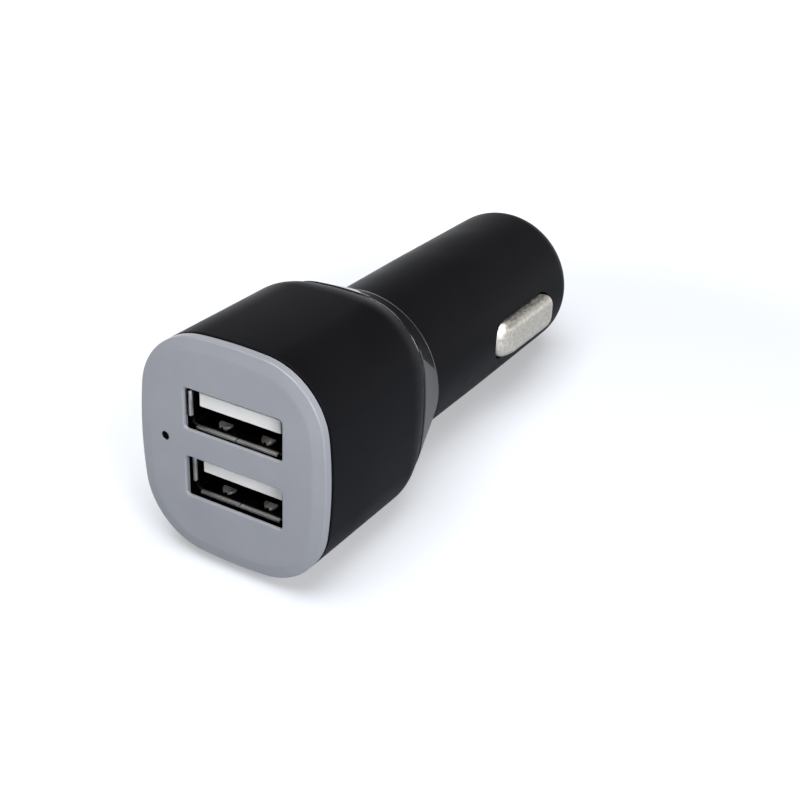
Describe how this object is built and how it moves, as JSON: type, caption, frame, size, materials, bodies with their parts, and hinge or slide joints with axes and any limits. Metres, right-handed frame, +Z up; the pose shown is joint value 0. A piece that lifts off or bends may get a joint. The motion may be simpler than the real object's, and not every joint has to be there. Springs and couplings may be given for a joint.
{
  "type": "car usb charger plug",
  "caption": "Car USB charger plug with a rounded square head, grey faceplate with USB sockets, glossy trim ring and round barrel with sprung side and tip contacts.",
  "frame": {"origin": "on the floor under the middle of the plug as it lies", "axes": "+Y from the face to the nose along the floor, +Z up, +X to the right of someone facing the sockets"},
  "size_m": [0.026, 0.0762, 0.0297],
  "materials": {
    "plate_plastic": "satin",
    "body_plastic": "satin",
    "ring_plastic": "polished",
    "contact_nickel": "nickel plated",
    "spring_steel": "drawn wire",
    "terminal_brass": "stamped",
    "board_laminate": "lacquered",
    "socket_steel": "nickel plated",
    "socket_insulator": "moulded",
    "gold_plate": "gold plated",
    "ferrite": "sintered",
    "copper_wire": "enamelled",
    "capacitor_can": "drawn",
    "chip_resin": "moulded",
    "lamp_lens": "clear",
    "chip_ceramic": "fired"
  },
  "bodies": {
    "plug": {"faceplate": "plate_plastic", "head_housing": "body_plastic", "barrel": "body_plastic", "trim_ring": "ring_plastic", "tip_spring": "spring_steel", "spring_terminal": "terminal_brass", "main_board": "board_laminate", "front_board": "board_laminate", "usb_shell_upper": "socket_steel", "usb_shell_lower": "socket_steel", "usb_insulator_upper": "socket_insulator", "usb_insulator_lower": "socket_insulator", "usb_contacts_upper": "gold_plate", "usb_contacts_lower": "gold_plate", "inductor_core": "ferrite", "inductor_winding": "copper_wire", "input_capacitor": "capacitor_can", "output_capacitor": "capacitor_can", "converter_chip": "chip_resin", "rectifier_diode": "chip_resin", "indicator_led": "lamp_lens", "chip_resistors": "chip_ceramic", "chip_capacitors": "chip_ceramic"},
    "tip": {"tip_contact": "contact_nickel"},
    "right_contact": {"side_contact_right": "contact_nickel"},
    "left_contact": {"side_contact_left": "contact_nickel"}
  },
  "joints": [
    {"name": "tip_press", "type": "slide", "parent": "plug", "child": "tip", "axis": [0, -0.9965, 0.0831], "range_m": [0, 0.0035], "stiffness_N_per_m": 1500, "springref_m": -0.001, "deforming": ["tip_spring"]},
    {"name": "right_press", "type": "hinge", "parent": "plug", "child": "right_contact", "pos_m": [0.00753, -0.01077, 0.01346], "axis": [0, 0.0831, 0.9965], "range_deg": [0, 2.9], "stiffness_Nm_per_rad": 2, "springref_deg": -1.15},
    {"name": "left_press", "type": "hinge", "parent": "plug", "child": "left_contact", "pos_m": [-0.00753, -0.01077, 0.01346], "axis": [0, -0.0831, -0.9965], "range_deg": [0, 2.9], "stiffness_Nm_per_rad": 2, "springref_deg": -1.15}
  ]
}
